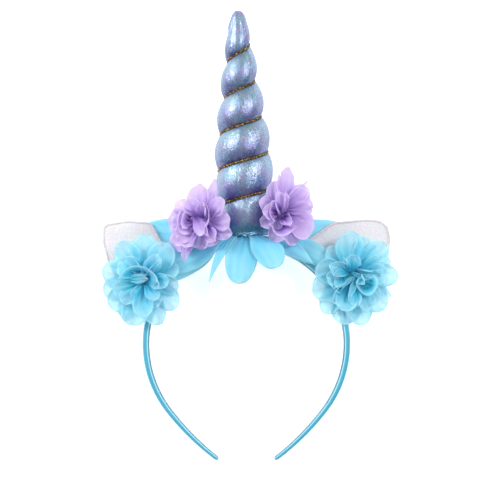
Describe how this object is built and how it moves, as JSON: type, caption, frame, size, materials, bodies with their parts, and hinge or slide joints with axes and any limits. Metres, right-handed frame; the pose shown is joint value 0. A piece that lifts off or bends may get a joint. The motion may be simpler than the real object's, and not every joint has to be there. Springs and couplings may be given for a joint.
{
  "type": "unicorn horn headband",
  "caption": "Costume headband lying on its back: a satin hoop with a padded spiral horn wound with cord, flat glitter ears, chiffon petals and gathered chiffon flowers.",
  "frame": {"origin": "bottom centre of the bounding box, on the surface that the headband lies on", "axes": "+Y from the hoop's tips to the horn's tip, +Z from the surface to the headband's front, +X to the right as seen from the front"},
  "size_m": [0.1844, 0.2776, 0.052],
  "materials": {
    "satin_band": "satin",
    "horn_fabric": "satin",
    "metal_cord": "satin",
    "glitter_fabric": "satin",
    "blue_chiffon": "matte",
    "lilac_chiffon": "matte"
  },
  "bodies": {
    "root": {"headband": "satin_band", "horn": "horn_fabric", "horn_cord": "metal_cord", "ear_left": "glitter_fabric", "ear_right": "glitter_fabric", "petal_upper_left": "blue_chiffon", "petal_upper_right": "blue_chiffon", "petal_under_left": "blue_chiffon", "petal_lower_left": "blue_chiffon", "petal_thin_left": "blue_chiffon", "petal_front": "blue_chiffon", "petal_front_right": "blue_chiffon", "petal_pointed_right": "blue_chiffon", "petal_lower_right": "blue_chiffon", "flower_blue_left_outer": "blue_chiffon", "flower_blue_left_middle": "blue_chiffon", "flower_blue_left_inner": "blue_chiffon", "flower_blue_left_heart": "blue_chiffon", "flower_blue_left_foot": "blue_chiffon", "flower_blue_right_outer": "blue_chiffon", "flower_blue_right_middle": "blue_chiffon", "flower_blue_right_inner": "blue_chiffon", "flower_blue_right_heart": "blue_chiffon", "flower_blue_right_foot": "blue_chiffon", "flower_purple_left_outer": "lilac_chiffon", "flower_purple_left_middle": "lilac_chiffon", "flower_purple_left_inner": "lilac_chiffon", "flower_purple_left_heart": "lilac_chiffon", "flower_purple_left_foot": "lilac_chiffon", "flower_purple_right_outer": "lilac_chiffon", "flower_purple_right_middle": "lilac_chiffon", "flower_purple_right_inner": "lilac_chiffon", "flower_purple_right_heart": "lilac_chiffon", "flower_purple_right_foot": "lilac_chiffon"}
  },
  "joints": []
}
